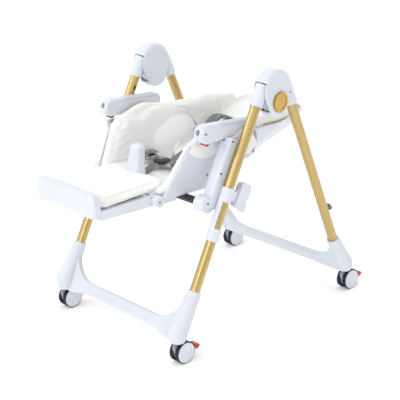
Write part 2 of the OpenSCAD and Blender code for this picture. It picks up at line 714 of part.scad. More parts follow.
stand() height_lever(left);  // height_lever_left
stand() height_lever(right);  // height_lever_right
stand() cross_tube();
stand() seat_shell();
stand() seat_pad();
stand() crotch_post();
stand() seat_pins();
stand() armrest(left);  // armrest_left
stand() armrest(right);  // armrest_right
stand() armrest_cover(left);  // armrest_cover_left
stand() armrest_cover(right);  // armrest_cover_right
stand() tray_trigger(left);  // tray_trigger_left
stand() tray_trigger(right);  // tray_trigger_right
stand() leg_rest_frame();
stand() footboard();
stand() leg_rest_pad();
stand() backrest_shell();
stand() backrest_pad();
stand() recline_lever();
stand() waist_straps();
stand() shoulder_straps();
stand() buckle();
stand() snap_fasteners();
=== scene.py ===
"""Looks of the folding, reclining baby high chair.

Finishes, cushions, piping, harness, side flaps, screws, floor, light and camera.
"""

import json
import math

import bpy
import numpy as np
from mathutils import Matrix, Vector
from mathutils.bvhtree import BVHTree


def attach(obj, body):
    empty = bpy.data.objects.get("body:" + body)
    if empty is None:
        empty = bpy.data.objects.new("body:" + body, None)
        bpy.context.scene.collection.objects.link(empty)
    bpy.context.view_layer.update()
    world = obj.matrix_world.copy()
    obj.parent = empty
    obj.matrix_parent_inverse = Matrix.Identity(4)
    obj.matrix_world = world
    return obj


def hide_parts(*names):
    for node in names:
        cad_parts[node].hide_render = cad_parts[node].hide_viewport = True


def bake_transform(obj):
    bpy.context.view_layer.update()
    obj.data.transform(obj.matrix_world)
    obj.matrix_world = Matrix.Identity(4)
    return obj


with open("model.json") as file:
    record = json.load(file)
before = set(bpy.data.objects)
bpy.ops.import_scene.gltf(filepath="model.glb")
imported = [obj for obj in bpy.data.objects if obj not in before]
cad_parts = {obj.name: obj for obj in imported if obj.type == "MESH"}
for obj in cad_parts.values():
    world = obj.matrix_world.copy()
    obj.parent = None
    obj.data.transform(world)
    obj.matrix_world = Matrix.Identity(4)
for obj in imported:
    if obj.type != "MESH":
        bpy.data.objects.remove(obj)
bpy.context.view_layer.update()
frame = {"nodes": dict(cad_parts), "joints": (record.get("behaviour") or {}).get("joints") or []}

MM = 0.001
JOINTS = {j["name"]: j for j in frame["joints"]}
SIDES = {"left": 1, "right": -1}


def pivot(joint):
    """Where a hinge turns, in the row frame."""
    return Vector(JOINTS[joint]["pos_m"])


HUB = pivot("frame_fold")
HIP = pivot("backrest_recline")
KNEE = pivot("leg_rest_tilt")
BACK_SLOPE = math.radians(13)
WALL_FLARE = math.radians(11.2)
WALL_X = 144  # mm from the middle of the chair to the foot of a seat side
HIP_AHEAD = 95  # mm from the hip hinge back to the line that chair() and wall_frame() count y from
PAN_Z = KNEE.z + 3 * MM

# The backrest's own frame: x across, y from the hip hinge to the head, z towards the child
BACK = Matrix.Translation(HIP) @ Matrix.Rotation(BACK_SLOPE, 4, "X")


def wall_frame(side):
    """The seat side's own frame: x outwards through the wall, y along the chair, z up the wall."""
    mirror = Matrix.Scale(side, 4, (1, 0, 0))
    lean = Matrix.Rotation(WALL_FLARE, 4, "Y")
    return mirror @ Matrix.Translation((WALL_X * MM, HIP.y + HIP_AHEAD * MM, PAN_Z)) @ lean


# ---------- Materials ----------

class Nodes:
    """A material's node tree, with short calls for the nodes this scene uses."""

    def __init__(self, name):
        self.material = bpy.data.materials.new(name)
        self.material.use_nodes = True
        self.tree = self.material.node_tree
        self.shader = self.tree.nodes["Principled BSDF"]
        self.place = self.tree.nodes.new("ShaderNodeTexCoord").outputs["Object"]

    def node(self, kind, inputs=None, **settings):
        n = self.tree.nodes.new("ShaderNode" + kind)
        for key, value in settings.items():
            setattr(n, key, value)
        for key, value in (inputs or {}).items():
            if hasattr(value, "is_output"):
                self.tree.links.new(value, n.inputs[key])
            else:
                n.inputs[key].default_value = value
        return n

    def stretched(self, scale):
        return self.node("Mapping", {"Vector": self.place, "Scale": scale}).outputs["Vector"]

    def noise(self, scale, detail=4, place=None):
        wanted = {"Vector": place or self.place, "Scale": scale, "Detail": detail}
        return self.node("TexNoise", wanted).outputs["Fac"]

    def waves(self, scale, direction):
        wanted = {"Vector": self.place, "Scale": scale, "Distortion": 0.4}
        return self.node("TexWave", wanted, bands_direction=direction).outputs["Fac"]

    def spread(self, value, low, high):
        wanted = {"Value": value, "To Min": low, "To Max": high, "From Min": 0.3, "From Max": 0.7}
        return self.node("MapRange", wanted).outputs["Result"]

    def blend(self, amount, a, b):
        n = self.node("Mix", {"Factor": amount}, data_type="RGBA")
        n.inputs["A"].default_value = (*a, 1)
        n.inputs["B"].default_value = (*b, 1)
        return n.outputs["Result"]

    def bump(self, height, distance, strength=1.0, normal=None):
        wanted = {"Height": height, "Distance": distance, "Strength": strength}
        if normal is not None:
            wanted["Normal"] = normal
        return self.node("Bump", wanted).outputs["Normal"]

    def set(self, **values):
        for key, value in values.items():
            socket = self.shader.inputs[key.replace("_", " ")]
            if hasattr(value, "is_output"):
                self.tree.links.new(value, socket)
            else:
                socket.default_value = value
        return self.material


def moulded_plastic(name, light, dark, rough, grain=6e-6, coat=0.0):
    n = Nodes(name)
    fine = n.noise(1400, 3)
    broad = n.noise(14, 3)
    return n.set(Base_Color=n.blend(n.spread(broad, 0, 1), light, dark),
                 Roughness=n.spread(n.noise(60, 5), rough - 0.05, rough + 0.06),
                 Normal=n.bump(fine, grain, 0.6),
                 Coat_Weight=coat, Coat_Roughness=0.15)


def anodised(name, light, dark, rough):
    n = Nodes(name)
    streaks = n.noise(55, 3, n.stretched((9, 9, 0.5)))
    return n.set(Base_Color=n.blend(n.spread(streaks, 0, 1), light, dark), Metallic=1.0,
                 Roughness=n.spread(streaks, rough - 0.02, rough + 0.03),
                 Normal=n.bump(streaks, 1e-6, 0.2),
                 Coat_Weight=0.5, Coat_Roughness=0.22)


def leatherette(name, light, dark):
    n = Nodes(name)
    cells = n.node("TexVoronoi", {"Vector": n.place, "Scale": 900.0},
                   feature="DISTANCE_TO_EDGE").outputs["Distance"]
    creases = n.noise(46, 6)
    soft = n.noise(7, 2)
    grain = n.bump(n.spread(cells, 0, 1), 5e-5, 0.5)
    return n.set(Base_Color=n.blend(n.spread(soft, 0, 1), light, dark),
                 Roughness=n.spread(creases, 0.42, 0.58),
                 Normal=n.bump(creases, 4e-4, 0.35, grain),
                 Sheen_Weight=0.12, Sheen_Roughness=0.5, Coat_Weight=0.06, Coat_Roughness=0.4)


def webbing(name, light, dark):
    n = Nodes(name)
    along = n.waves(170.0, "Y")
    across = n.waves(120.0, "X")
    weave = n.node("Math", {0: along, 1: across}, operation="MULTIPLY").outputs["Value"]
    fuzz = n.noise(700, 4)
    return n.set(Base_Color=n.blend(weave, dark, light), Roughness=n.spread(fuzz, 0.7, 0.9),
                 Normal=n.bump(weave, 3e-4, 0.8, n.bump(fuzz, 5e-5, 0.5)),
                 Sheen_Weight=0.4, Sheen_Roughness=0.4)


def rubber(name, light, dark):
    n = Nodes(name)
    dust = n.noise(40, 5)
    return n.set(Base_Color=n.blend(n.spread(dust, 0, 1), dark, light),
                 Roughness=n.spread(n.noise(200, 4), 0.38, 0.55), Normal=n.bump(n.noise(900, 3), 2e-5, 0.5),
                 Specular_IOR_Level=0.2)


WHITE = moulded_plastic("white plastic", (0.70, 0.72, 0.775), (0.66, 0.68, 0.735), 0.34, coat=0.15)
SATIN_WHITE = moulded_plastic("satin white plastic", (0.68, 0.70, 0.745), (0.64, 0.66, 0.705), 0.42)
COVER_WHITE = moulded_plastic("armrest cover plastic", (0.56, 0.59, 0.63), (0.52, 0.55, 0.59), 0.38)
DISC_WHITE = moulded_plastic("wheel disc plastic", (0.70, 0.71, 0.74), (0.64, 0.65, 0.69), 0.3, coat=0.3)
GREY = moulded_plastic("grey plastic", (0.30, 0.30, 0.36), (0.25, 0.25, 0.31), 0.4)
BLACK = moulded_plastic("black plastic", (0.012, 0.012, 0.015), (0.02, 0.02, 0.024), 0.35)
RED = moulded_plastic("red plastic", (0.62, 0.008, 0.02), (0.50, 0.006, 0.015), 0.3, coat=0.3)
GOLD = anodised("gold anodised tube", (0.56, 0.41, 0.155), (0.50, 0.36, 0.13), 0.28)
GOLD_BUTTON = anodised("polished gold button", (0.62, 0.42, 0.12), (0.52, 0.34, 0.09), 0.12)
STEEL = anodised("bright steel", (0.56, 0.56, 0.58), (0.46, 0.46, 0.49), 0.3)
TYRE = rubber("tyre rubber", (0.020, 0.022, 0.034), (0.010, 0.011, 0.019))
CUSHION = leatherette("white leatherette", (0.86, 0.86, 0.83), (0.82, 0.82, 0.79))
PIPING = moulded_plastic("gold piping", (0.62, 0.44, 0.16), (0.50, 0.34, 0.10), 0.4)
THREAD = moulded_plastic("seam thread", (0.78, 0.77, 0.72), (0.66, 0.65, 0.60), 0.7)
WEBBING = webbing("grey webbing", (0.36, 0.37, 0.39), (0.09, 0.095, 0.10))
# near-black flat discs for screw holes: painted shade of the recess, not a colour the screws have
SCREW_HOLE_SHADE = moulded_plastic("painted screw hole shade", (0.03, 0.03, 0.035), (0.05, 0.05, 0.055), 0.4)


FINISHES = (("tyres", TYRE), ("wheel_discs", DISC_WHITE), ("brake", RED), ("trigger", RED),
            ("button", GOLD_BUTTON), ("fork", GREY), ("leg_left", GOLD), ("leg_right", GOLD),
            ("tray_hooks", GREY), ("cross_tube", BLACK), ("buckle", BLACK), ("strap", WEBBING),
            ("pins", STEEL), ("snap", STEEL), ("recline_lever", GREY), ("pad", CUSHION),
            ("crossbar", SATIN_WHITE), ("foot_", SATIN_WHITE), ("armrest_cover", COVER_WHITE))


def finish_of(node):
    """The finish of a CAD node: the first in FINISHES that its name holds, or else white plastic."""
    return next((material for part, material in FINISHES if part in node), WHITE)


for node_name, node_object in frame["nodes"].items():
    node_object.data.materials.clear()
    node_object.data.materials.append(finish_of(node_name))


# ---------- Mesh helpers ----------

def new_mesh(name, points, faces, material):
    mesh = bpy.data.meshes.new(name)
    mesh.from_pydata([tuple(p) for p in points], [], faces)
    mesh.validate()
    obj = bpy.data.objects.new(name, mesh)
    bpy.context.collection.objects.link(obj)
    mesh.materials.append(material)
    mesh.shade_smooth()
    return obj


def ring_faces(rings, around):
    """The faces of a closed form made of rings of points: its side, then its two ends."""
    faces = [(i * around + k, i * around + (k + 1) % around,
              (i + 1) * around + (k + 1) % around, (i + 1) * around + k)
             for i in range(rings - 1) for k in range(around)]
    return faces + [tuple(range(around))[::-1], tuple(range((rings - 1) * around, rings * around))]


def sheet_faces(rows, columns):
    """The faces of a sheet of points laid out in rows and columns."""
    return [(i * columns + k, i * columns + k + 1, (i + 1) * columns + k + 1, (i + 1) * columns + k)
            for i in range(rows - 1) for k in range(columns - 1)]


def bake(obj):
    """Replaces obj's mesh by what its modifiers make."""
    dg = bpy.context.evaluated_depsgraph_get()
    made = bpy.data.meshes.new_from_object(obj.evaluated_get(dg))
    obj.modifiers.clear()
    obj.data = made
    return obj


def coordinates(mesh):
    co = np.empty(len(mesh.vertices) * 3)
    mesh.vertices.foreach_get("co", co)
    return co.reshape(-1, 3)


def normals(mesh):
    n = np.empty(len(mesh.vertices) * 3)
    mesh.vertices.foreach_get("normal", n)
    return n.reshape(-1, 3)


def put(mesh, co):
    mesh.vertices.foreach_set("co", co.ravel())
    mesh.update()


def smooth(mesh, times):
    """Evens a mesh out, keeping its volume roughly, by moving each point towards its neighbours and back."""
    forth, back = 0.5, -0.52
    edges = np.empty(len(mesh.edges) * 2, int)
    mesh.edges.foreach_get("vertices", edges)
    a, b = edges.reshape(-1, 2).T
    co = coordinates(mesh)
    count = np.bincount(np.concatenate((a, b)), minlength=len(co))[:, None]
    for step in range(times):
        for f in (forth, back) if step % 3 else (forth,):
            total = np.zeros_like(co)
            np.add.at(total, a, co[b])
            np.add.at(total, b, co[a])
            co += f * (total / count - co)
    put(mesh, co)


def curve_points(keys, count):
    """count points evenly along a smooth curve through the keys."""
    steps_between_keys = 24
    keys = np.array([tuple(k) for k in keys], float)
    ends = np.vstack((2 * keys[0] - keys[1], keys, 2 * keys[-1] - keys[-2]))
    fine = []
    for i in range(1, len(ends) - 2):
        p0, p1, p2, p3 = ends[i - 1:i + 3]
        for t in np.linspace(0, 1, steps_between_keys, endpoint=False):
            fine.append(0.5 * (2 * p1 + (p2 - p0) * t + (2 * p0 - 5 * p1 + 4 * p2 - p3) * t ** 2
                               + (3 * p1 - p0 - 3 * p2 + p3) * t ** 3))
    fine = np.array(fine + [keys[-1]])
    along = np.concatenate(([0], np.cumsum(np.linalg.norm(np.diff(fine, axis=0), axis=1))))
    wanted = np.linspace(0, along[-1], count)
    return np.column_stack([np.interp(wanted, along, fine[:, k]) for k in range(3)])


def directions(points):
    """The way a chain of points runs at each of them."""
    tangents = np.gradient(points, axis=0)
    return tangents / np.linalg.norm(tangents, axis=1)[:, None]


def on_surface(points, obj, lift=0.0):
    """The points moved onto the nearest place of obj's surface, lifted off it."""
    tree = BVHTree.FromObject(obj, bpy.context.evaluated_depsgraph_get())
    found = [tree.find_nearest(Vector(p)) for p in points]
    return np.array([tuple(place + normal * lift) for place, normal, _, _ in found])


def distance_to_line(co, line):
    """Distance of each point in co to a chain of points."""
    best = np.full(len(co), 1e9)
    for p, q in zip(line[:-1], line[1:]):
        d = q - p
        t = np.clip(((co - p) @ d) / max(d @ d, 1e-12), 0, 1)
        best = np.minimum(best, np.linalg.norm(co - (p + t[:, None] * d), axis=1))
    return best


def tube(name, points, radius, material, sides=10):
    """A round cord along points, with closed ends."""
    points = np.array(points)
    up = np.array([0.0, 0.0, 1.0])
    rings = []
    for p, t in zip(points, directions(points)):
        side = np.cross(t, up)
        if np.linalg.norm(side) < 1e-3:
            side = np.cross(t, [1.0, 0.0, 0.0])
        side /= np.linalg.norm(side)
        over = np.cross(side, t)
        for k in range(sides):
            a = 2 * math.pi * k / sides
            rings.append(p + radius * (math.cos(a) * side + math.sin(a) * over))
    return new_mesh(name, rings, ring_faces(len(points), sides), material)


def ribbon(name, keys, ups, width, thickness, material, count):
    """A flat strap through keys; ups are the directions its face looks, one for each key."""
    points = curve_points(keys, count)
    faces_to = curve_points(ups, count)
    outline = [(-0.5, -0.3), (-0.47, 0.5), (-0.4, 0.36), (0, 0.5),
               (0.4, 0.36), (0.47, 0.5), (0.5, -0.3), (0, -0.5)]
    rings = []
    for p, t, u in zip(points, directions(points), faces_to):
        side = np.cross(t, u)
        side /= np.linalg.norm(side)
        over = np.cross(side, t)
        rings += [p + side * a * width + over * b * thickness for a, b in outline]
    return new_mesh(name, rings, ring_faces(count, len(outline)), material)


def sheet(name, points, rows, columns, thickness, rounding):
    """A fabric panel of even thickness through points laid out in rows and columns."""
    made = new_mesh(name, points, sheet_faces(rows, columns), CUSHION)
    thick = made.modifiers.new("thick", "SOLIDIFY")
    thick.thickness = thickness
    thick.offset = 0
    soft = made.modifiers.new("soft", "SUBSURF")
    soft.levels = soft.render_levels = rounding
    bake(made)
    made.data.shade_smooth()
    return made


# ---------- Cushions ----------

def freedom(co, nodes, low=6 * MM, high=14 * MM):
    """How free each point is to swell: 0 beside the CAD nodes that back a cushion, 1 well away from them."""
    gap = np.full(len(co), high)
    dg = bpy.context.evaluated_depsgraph_get()
    for node in nodes:
        tree = BVHTree.FromObject(frame["nodes"][node], dg)
        for i, point in enumerate(co):
            found = tree.find_nearest(Vector(point), high)
            if found[0] is not None:
                gap[i] = min(gap[i], found[3])
    return np.clip((gap - low) / (high - low), 0, 1)


VOXEL = 5 * MM
PRESSURE = 4.0
CLOTH_FRAMES = 20


def cushion(node, name, body, cap, shrink, backed_by=(), reshape=None, bends_at=None):
    """A stuffed piece grown from a CAD solid: remeshed, rounded and blown up as cloth, by cap at the most.

    The CAD nodes in backed_by hold it back. With bends_at it is not attached to its body and stays where it
    is made; only whether bends_at is given counts.
    """
    obj = bpy.data.objects.new(name, frame["nodes"][node].data.copy())
    bpy.context.collection.objects.link(obj)
    obj.data.materials.clear()
    obj.data.materials.append(CUSHION)
    if reshape:
        put(obj.data, reshape(coordinates(obj.data)))
    remesh = obj.modifiers.new("remesh", "REMESH")
    remesh.mode = "VOXEL"
    remesh.voxel_size = VOXEL
    bake(obj)
    smooth(obj.data, 8)
    put(obj.data, coordinates(obj.data) - normals(obj.data) * shrink)
    start = coordinates(obj.data)
    free = freedom(start, backed_by)
    held = 1 - free
    group = obj.vertex_groups.new(name="held")
    for i in np.nonzero(held)[0]:
        group.add([int(i)], float(held[i]), "REPLACE")
    cloth = obj.modifiers.new("cloth", "CLOTH")
    cloth.settings.quality = 4
    cloth.settings.mass = 0.3
    cloth.settings.tension_stiffness = 12
    cloth.settings.compression_stiffness = 12
    cloth.settings.bending_stiffness = 0.8
    cloth.settings.use_pressure = True
    cloth.settings.uniform_pressure_force = PRESSURE
    cloth.settings.effector_weights.gravity = 0
    cloth.settings.vertex_group_mass = "held"
    for step in range(1, CLOTH_FRAMES + 1):
        bpy.context.scene.frame_set(step)
    bake(obj)
    bpy.context.scene.frame_set(1)
    moved = coordinates(obj.data) - start
    far = np.linalg.norm(moved, axis=1)[:, None]
    put(obj.data, start + moved * np.minimum(1, cap / np.maximum(far, 1e-9)))
    obj.vertex_groups.clear()
    smooth(obj.data, 3)
    put(obj.data, start + (coordinates(obj.data) - start) * free[:, None])
    finer = obj.modifiers.new("finer", "SUBSURF")
    finer.levels = finer.render_levels = 1
    bake(obj)
    obj.data.shade_smooth()
    if bends_at is None:
        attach(obj, body)
    else:
        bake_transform(obj)
    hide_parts(node)
    return obj


def piping(name, keys, obj, body, radius, lift, count):
    """A cord sewn along a cushion's edge."""
    line = on_surface(curve_points(keys, count), obj, lift)
    for _ in range(4):
        line[1:-1] = (line[:-2] + 2 * line[1:-1] + line[2:]) / 4
    made = tube(name, line, radius, PIPING)
    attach(made, body)


def back_point(x, y, z):
    """A point given in millimetres in the backrest's own frame."""
    return BACK @ Vector((x * MM, y * MM, z * MM))


def wall_point(side, x, y, z):
    """A point given in millimetres in a seat side's own frame."""
    return wall_frame(side) @ Vector((x * MM, y * MM, z * MM))


def loft(name, sections, material, around=20, count=64, power=2.6):
    """A closed rounded form through sections: centre, half thickness, half height, thickness direction."""
    end_rings = 5
    centres = curve_points([q[0] for q in sections], count)
    sizes = curve_points([(q[1], q[2], 0) for q in sections], count)
    sides = curve_points([q[3] for q in sections], count)
    rings = []
    for i, (c, (thick, high, _), side, t) in enumerate(zip(centres, sizes, sides, directions(centres))):
        end = min(i, count - 1 - i) / end_rings
        taper = math.sqrt(max(0.0, 1 - (1 - min(end, 1)) ** 2)) * 0.97 + 0.03
        side = side - t * (side @ t)
        side /= np.linalg.norm(side)
        over = np.cross(side, t)
        over *= 1 if over[2] >= 0 else -1
        for k in range(around):
            a = 2 * math.pi * k / around
            u = math.copysign(abs(math.cos(a)) ** (2 / power), math.cos(a))
            v = math.copysign(abs(math.sin(a)) ** (2 / power), math.sin(a))
            rings.append(c + side * u * thick * taper + over * v * high * taper)
    return new_mesh(name, rings, ring_faces(count, around), material)


def wrinkle(obj, place, direction, reach, depth, spacing):
    """Presses soft folds into obj around place, running along direction."""
    co = coordinates(obj.data)
    away = normals(obj.data)
    d = np.array(direction, float)
    d /= np.linalg.norm(d)
    rel = co - np.array(place)
    flat = rel - (rel @ d)[:, None] * d
    across = np.linalg.norm(flat, axis=1)
    fade = np.exp(-(np.linalg.norm(rel, axis=1) / reach) ** 2)
    co -= away * (depth * fade * (0.5 + 0.5 * np.cos(2 * math.pi * across / spacing)))[:, None]
    put(obj.data, co)


def lengthen_leg_pad(co):
    """Carries the leg rest's cushion back over the front edge of the seat."""
    fixed_up_to, length, reach, rise = KNEE.y - 60 * MM, 52 * MM, 62 * MM, 13 * MM
    along = np.clip((co[:, 1] - fixed_up_to) / length, 0, 1)
    co[:, 1] += reach * along
    co[:, 2] += rise * np.clip(along * 1.6 - 0.6, 0, 1)
    return co


back_pad = cushion("backrest_pad", "backrest_cushion", "backrest", cap=9 * MM, shrink=2.5 * MM,
                   backed_by=["backrest_shell"])
seat_pad = cushion("seat_pad", "seat_cushion", "seat", cap=8 * MM, shrink=2.0 * MM, backed_by=["seat_shell"])
leg_pad = cushion("leg_rest_pad", "leg_rest_cushion", "leg_rest", cap=6 * MM, shrink=2.0 * MM,
                  reshape=lengthen_leg_pad,
                  bends_at=(KNEE + Vector((0, 30 * MM, 0)), KNEE - Vector((0, 30 * MM, 0))))


def side_roll(side, name):
    """The padded top of the liner's side, over the place where the backrest meets the seat; it is made once
    and stays where it is.
    """
    tops = [(-138, 122, 26), (-122, 134, 34), (-98, 150, 40), (-72, 157, 42), (-45, 161, 42), (-15, 158, 40),
            (10, 152, 36), (40, 147, 30), (70, 144, 25), (100, 144, 21), (130, 146, 18), (160, 147, 16)]
    sections = []
    for y, top, high in tops:
        x = 162 - 19 * min(max((y - 10) / 100, 0), 1)
        sections.append(((side * x * MM, HIP.y + y * MM, HIP.z + (top - high) * MM), 13 * MM, high * MM,
                         (side, 0, -0.2)))
    roll = loft(name, sections, CUSHION)
    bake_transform(roll)
    return roll


rolls = {name: side_roll(side, "side_roll_" + name) for name, side in SIDES.items()}


def roll_piping(side, name, roll):
    """Gold cord along the outer top edge of a side roll."""
    keys = [(side * 190 * MM, HIP.y + y * MM, HIP.z + z * MM)
            for y, z in ((-140, 118), (-124, 136), (-98, 156), (-72, 164), (-45, 168), (-15, 164), (10, 158))]
    cord = tube(name, on_surface(curve_points(keys, 60), roll, 0.8 * MM), 1.5 * MM, PIPING)
    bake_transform(cord)


for name, side in SIDES.items():
    roll_piping(side, "roll_piping_" + name, rolls[name])


def rim_keys():
    """The line where the backrest's cushion leaves the rim of its shell, right round the head."""
    keys = []
    for s in (175, 215, 260, 300, 340):
        keys.append((172 - 0.12 * (s - 175), s))
    for a in range(12, 169, 13):
        keys.append((118 * math.cos(math.radians(a)), 338 + 118 * math.sin(math.radians(a))))
    keys += [(-x, s) for x, s in reversed(keys[:5])]
    return [back_point(x, s, 101 - 0.26 * (s - 100)) for x, s in keys]


piping("rim_piping", rim_keys(), back_pad, "backrest", radius=1.8 * MM, lift=0.9 * MM, count=260)


def seam(name, keys, obj, body):
    """A sewn seam: a fine raised thread line in a groove pressed into the cushion."""
    depth, width = 1.8 * MM, 3.2 * MM
    line = on_surface(curve_points(keys, 90), obj)
    co = coordinates(obj.data)
    d = distance_to_line(co, line)
    put(obj.data, co - normals(obj.data) * (depth * np.exp(-(d / width) ** 2))[:, None])
    line = on_surface(line, obj, 0.1 * MM)
    made = tube(name, line, 0.7 * MM, THREAD, 6)
    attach(made, body)


for name, side in SIDES.items():
    wing = ((150, 250, 130), (140, 250, 95), (118, 252, 60), (90, 255, 30), (50, 258, 12))
    seam("wing_seam_" + name, [back_point(side * x, s, h) for x, s, h in wing], back_pad, "backrest")
seam("back_seam", [back_point(x, 255, 30) for x in (48, 25, 0, -25, -48)], back_pad, "backrest")
seam("seat_seam", [(x * MM, KNEE.y + 74 * MM, PAN_Z + 60 * MM) for x in (-105, -60, 0, 60, 105)],
     seat_pad, "seat")
for name, side in SIDES.items():
    bolster = ((-228, 40), (-200, 52), (-150, 46), (-100, 34), (-60, 24))
    seam("bolster_seam_" + name, [wall_point(side, -24, y, h) for y, h in bolster], seat_pad, "seat")
leg_edge = ((-104, 8), (-106, -60), (-106, -120), (-92, -160), (0, -166),
            (92, -160), (106, -120), (106, -60), (104, 8))
seam("leg_pad_seam", [(x * MM, KNEE.y + y * MM, PAN_Z + 40 * MM) for x, y in leg_edge], leg_pad, "leg_rest")

for side in SIDES.values():
    wrinkle(seat_pad, wall_point(side, -20, -215, 60), (0, 1, 0.3), 50 * MM, 2.2 * MM, 17 * MM)


def side_lining(side, name):
    """The liner's fabric inside each hip, a sheet with soft ripples that is made once and stays where it is.
    """
    rise = [(103, -14), (104, 8), (106, 30), (113, 46), (125, 66), (137, 88), (146, 108)]
    outline = [back_point(0, s, 0) for s in (-28, 0, 30, 60, 92, 124, 150)]
    points = []
    for k, (x, h) in enumerate(rise):
        for i, base in enumerate(outline):
            tucked = 18 * max(i == 0, 0.7 * (i == len(outline) - 1), 0.9 * (k == len(rise) - 1))
            fold = 1.5 * math.sin(2.3 * i + 0.9 * k)
            points.append((side * (x + fold + tucked) * MM, base.y - 0.2 * h * MM, base.z + h * MM))
    made = sheet(name, points, len(rise), len(outline), 4 * MM, rounding=2)
    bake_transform(made)


for name, side in SIDES.items():
    side_lining(side, "side_lining_" + name)


# ---------- Harness ----------

def strap(name, keys, ups, body, width=25 * MM):
    """A length of webbing; body is None for one that is left fixed where it is made."""
    made = ribbon(name, keys, ups, width, 2.0 * MM, WEBBING, 70)
    if body:
        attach(made, body)
    return made


def chair(x, y, z):
    """A point in millimetres: x across, y back from HIP_AHEAD behind the hip hinge, z above the floor."""
    return (x * MM, HIP.y + (y + HIP_AHEAD) * MM, z * MM)


def lying(points, obj, lift):
    """The points dropped straight down onto obj, and lifted off it."""
    tree = BVHTree.FromObject(obj, bpy.context.evaluated_depsgraph_get())
    found = [tree.ray_cast(Vector(p), (0, 0, -1)) for p in points]
    return [tuple(place + normal * lift) for place, normal, _, _ in found if place is not None]


UP = (0, 0, 1)


def shoulder_strap(side, name):
    """A strap from its slot in the back, over the cushions to the buckle, with a ribbed pad below the slot
    and a black strip of painted shade in the slot.

    slack says how far the strap bows up off the cushion, in mm, at places y along the chair.
    """
    slack = {134: 3, 112: 23, 88: 30, 62: 25, 36: 11, 5: 2}
    keys = [lying([chair(side * 66, y, 560)], back_pad, rise * MM)[0] for y, rise in slack.items()]
    on_seat = ((62, -40), (54, -85), (42, -130))
    keys += lying([chair(side * x, y, 500) for x, y in on_seat], seat_pad, 2.4 * MM)
    keys += [chair(side * 22, -182, 482)]
    made = strap("shoulder_strap_" + name, keys, [UP] * len(keys), None)
    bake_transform(made)
    pad_keys = [Vector(k) + Vector((0, 0, 2 * MM)) for k in keys[:5]]
    pad = ribbon("shoulder_pad_" + name, pad_keys, [UP] * 5, 36 * MM, 9 * MM, WEBBING, 48)
    ribs = coordinates(pad.data)
    ribs[:, 2] += 1.2 * MM * np.sin(np.arange(len(ribs)) // 8 * 1.3)
    put(pad.data, ribs)
    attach(pad, "backrest")
    # a thin black strip on the back cushion where the strap comes through: painted shade of the slot's
    # opening
    slot_shade_keys = lying([chair(side * 66 + x, 137, 560) for x in (-19, 0, 19)], back_pad, 0.5 * MM)
    slot_shade = ribbon("strap_slot_shade_" + name, slot_shade_keys, [UP] * 3, 6 * MM, 1.6 * MM, BLACK, 20)
    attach(slot_shade, "backrest")
    return made


shoulder_straps = [shoulder_strap(side, name) for name, side in SIDES.items()]
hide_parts("shoulder_straps")


def waist_and_crotch_straps():
    """The straps that stay on the seat: two at the waist with their loose tails, and one at the crotch."""
    for name, side in SIDES.items():
        keys = [chair(side * 122, -140, 474), chair(side * 104, -150, 470), chair(side * 78, -168, 476),
                chair(side * 48, -186, 484), chair(side * 20, -196, 482)]
        strap("waist_strap_" + name, keys, [UP, UP, (0, -0.3, 1), (0, -0.3, 1), UP], "seat")
        loop = [chair(side * 44, -190, 479), chair(side * 66, -206, 476), chair(side * 88, -196, 486),
                chair(side * 82, -170, 494), chair(side * 56, -172, 490)]
        strap("strap_tail_" + name, loop, [UP, (0, 0.2, 1), (0, 0.6, 1), (0, 0.3, 1), UP], "seat", 22 * MM)
    crotch = [chair(0, -268, 468), chair(0, -250, 472), chair(0, -228, 480), chair(0, -208, 481)]
    made = strap("crotch_strap", crotch, [UP] * 4, "seat", 26 * MM)
    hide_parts("waist_straps")


waist_and_crotch_straps()


def buckle():
    """Three-way buckle with its release button, and the slides on the straps."""
    centre = Vector(chair(0, -198, 484))
    body_sections = [(centre + Vector((0, y * MM, z * MM)), w * MM, h * MM, (1, 0, 0)) for y, w, h, z in
                     ((-22, 17, 6, -1), (-12, 23, 8, 0), (0, 25, 9, 0), (12, 23, 8, 0), (22, 16, 6, -1))]
    button_sections = [(centre + Vector((0, y * MM, 7 * MM)), w * MM, 4 * MM, (1, 0, 0)) for y, w in
                       ((-9, 7), (-3, 9), (3, 9), (9, 7))]
    body = loft("buckle_body", body_sections, BLACK, 24, 40, 3.4)
    button = loft("buckle_button", button_sections, GREY, 20, 24, 3)
    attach(body, "seat")
    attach(button, "seat")
    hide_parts("buckle")
    slides = [(chair(60, -178, 480), (0.1, -0.2, 1)), (chair(-62, -178, 480), (-0.1, -0.2, 1))]
    for i, (place, up) in enumerate(slides):
        up = Vector(up).normalized()
        along = Vector((0, 1, 0)).cross(up).cross(up).normalized() * -1
        sections = [(Vector(place) + up * 1.5 * MM + along * t * MM, w * MM, 2.6 * MM, (1, 0, 0))
                    for t, w in ((-9, 14), (-6, 17), (0, 17.5), (6, 17), (9, 14))]
        slide = loft(f"strap_slide_{i}", sections, BLACK, 20, 24, 4)
        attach(slide, "seat")


buckle()


# ---------- Side flaps ----------

def flap(side, name):
    """A fabric tab that comes over the seat side under the armrest and is held by a snap."""
    rows, columns = 22, 26
    points = []
    for i in range(rows):
        v = i / (rows - 1)
        for k in range(columns):
            u = k / (columns - 1)
            y = -128 - 126 * u + 10 * math.sin(math.pi * v) * (u - 0.5)
            drop = 8 + 40 * math.sin(math.pi * (0.12 + 0.80 * u)) ** 0.7 + 16 * (1 - u)
            h = 152 - drop * v ** 1.15
            tucked = 12 * (1 - min(1, v * 5)) ** 2
            x = 8.4 + 3.2 * math.sin(math.pi * v) - tucked + 1.1 * math.sin(9 * u + 2 * v)
            points.append(wall_point(side, x, y, h))
    made = sheet(name, points, rows, columns, 2.4 * MM, rounding=1)
    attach(made, "seat")


for name, side in SIDES.items():
    flap(side, "side_flap_" + name)


# ---------- Screws ----------

SCREWS = (("hub_outer_cover_{}", 279, 39, 689, "rear_frame"), ("armrest_{}", 221, -229, 613, "armrest_{}"),
          ("seat_carrier_{}", 242, -148, 579, "seat"), ("seat_carrier_{}", 242, -195, 499, "seat"),
          ("seat_shell", 158, -167, 469, "seat"), ("seat_carrier_{}", 240, -242, 424, "seat"),
          ("seat_shell", 152, -338, 430, "seat"))


